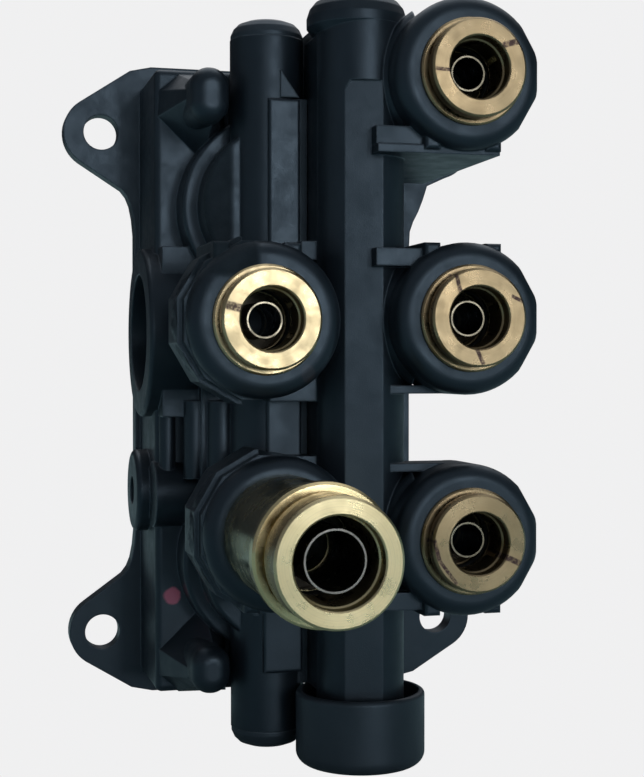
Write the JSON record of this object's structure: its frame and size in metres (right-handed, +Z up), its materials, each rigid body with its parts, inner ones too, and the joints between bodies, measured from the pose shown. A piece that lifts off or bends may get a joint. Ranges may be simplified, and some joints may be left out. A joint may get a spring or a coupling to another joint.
{
  "type": "dash control valve",
  "caption": "Dash-mounted air brake control valve: nylon housing with push-pull knobs, barrels, side ports and brass push-in tube fittings.",
  "frame": {"origin": "centre of the four ear holes, on the ear faces that rest against the dash panel", "axes": "+Y points through the panel to the driver, so the tube ports face -Y; +Z is up along the barrels; +X is to the right when the ports are looked at"},
  "size_m": [0.0826, 0.1306, 0.1315],
  "materials": {
    "body_nylon": "moulded dark blue-grey nylon",
    "cover_nylon": "moulded dark blue-grey nylon",
    "cap_nylon": "moulded dark blue-grey nylon",
    "zinc_steel": "zinc plated steel",
    "plunger_acetal": "natural acetal",
    "seal_rubber": "moulded nitrile rubber",
    "insert_brass": "turned brass",
    "spring_steel": "drawn spring wire",
    "park_knob_yellow": "moulded yellow plastic",
    "trailer_knob_red": "moulded red plastic",
    "fitting_brass": "turned brass, slightly dulled",
    "collet_brass": "turned brass with fine turning marks",
    "support_metal": "thin drawn tube with a bright rim"
  },
  "bodies": {
    "housing": {"valve_body": "body_nylon", "front_cover": "cover_nylon", "cover_screws": "zinc_steel", "park_valve_seat": "insert_brass", "trailer_valve_seat": "insert_brass", "park_return_spring": "spring_steel", "trailer_return_spring": "spring_steel", "check_stop_sleeve": "insert_brass", "supply_end_cap": "cap_nylon", "end_cap_seal": "seal_rubber", "interlock_spring": "spring_steel", "upper_barrel_plug": "cap_nylon", "lower_barrel_plug": "cap_nylon", "top_right_fitting_body": "fitting_brass", "top_right_tube_support": "support_metal", "top_right_tube_seal": "seal_rubber", "mid_right_fitting_body": "fitting_brass", "mid_right_tube_support": "support_metal", "mid_right_tube_seal": "seal_rubber", "low_right_fitting_body": "fitting_brass", "low_right_tube_support": "support_metal", "low_right_tube_seal": "seal_rubber", "mid_left_fitting_body": "fitting_brass", "mid_left_tube_support": "support_metal", "mid_left_tube_seal": "seal_rubber", "supply_fitting_body": "fitting_brass", "supply_tube_support": "support_metal", "supply_tube_seal": "seal_rubber"},
    "park_control": {"park_plunger": "plunger_acetal", "park_plunger_seal": "seal_rubber", "park_valve_disc": "seal_rubber", "park_knob": "park_knob_yellow", "park_knob_pin": "zinc_steel"},
    "trailer_control": {"trailer_plunger": "plunger_acetal", "trailer_plunger_seal": "seal_rubber", "trailer_valve_disc": "seal_rubber", "trailer_knob": "trailer_knob_red", "trailer_knob_pin": "zinc_steel"},
    "top_right_collet": {"top_right_collet": "collet_brass"},
    "mid_right_collet": {"mid_right_collet": "collet_brass"},
    "low_right_collet": {"low_right_collet": "collet_brass"},
    "mid_left_collet": {"mid_left_collet": "collet_brass"},
    "supply_collet": {"supply_collet": "collet_brass"},
    "check_valve": {"check_shuttle": "plunger_acetal", "check_shuttle_seals": "seal_rubber"},
    "interlock": {"interlock_piston": "plunger_acetal", "interlock_piston_seal": "seal_rubber"}
  },
  "joints": [
    {"name": "park_knob_push", "type": "slide", "parent": "housing", "child": "park_control", "axis": [0, 1, 0], "range_m": [-0.0095, 0], "stiffness_N_per_m": 900, "springref_m": 0.004, "deforming": ["park_return_spring"]},
    {"name": "trailer_knob_push", "type": "slide", "parent": "housing", "child": "trailer_control", "axis": [0, 1, 0], "range_m": [-0.0095, 0], "stiffness_N_per_m": 900, "springref_m": 0.004, "deforming": ["trailer_return_spring"]},
    {"name": "top_right_collet_release", "type": "slide", "parent": "housing", "child": "top_right_collet", "axis": [0, 1, 0], "range_m": [0, 0.0011]},
    {"name": "mid_right_collet_release", "type": "slide", "parent": "housing", "child": "mid_right_collet", "axis": [0, 1, 0], "range_m": [0, 0.0011]},
    {"name": "low_right_collet_release", "type": "slide", "parent": "housing", "child": "low_right_collet", "axis": [0, 1, 0], "range_m": [0, 0.0011]},
    {"name": "mid_left_collet_release", "type": "slide", "parent": "housing", "child": "mid_left_collet", "axis": [0, 1, 0], "range_m": [0, 0.0011]},
    {"name": "supply_collet_release", "type": "slide", "parent": "housing", "child": "supply_collet", "axis": [0, 1, 0], "range_m": [0, 0.0011]},
    {"name": "check_shuttle_slide", "type": "slide", "parent": "housing", "child": "check_valve", "axis": [0, 0, 1], "range_m": [-0.005, 0.005]},
    {"name": "interlock_piston_slide", "type": "slide", "parent": "housing", "child": "interlock", "axis": [0, 0, 1], "range_m": [0, 0.005], "stiffness_N_per_m": 300, "springref_m": -0.004, "deforming": ["interlock_spring"]}
  ]
}
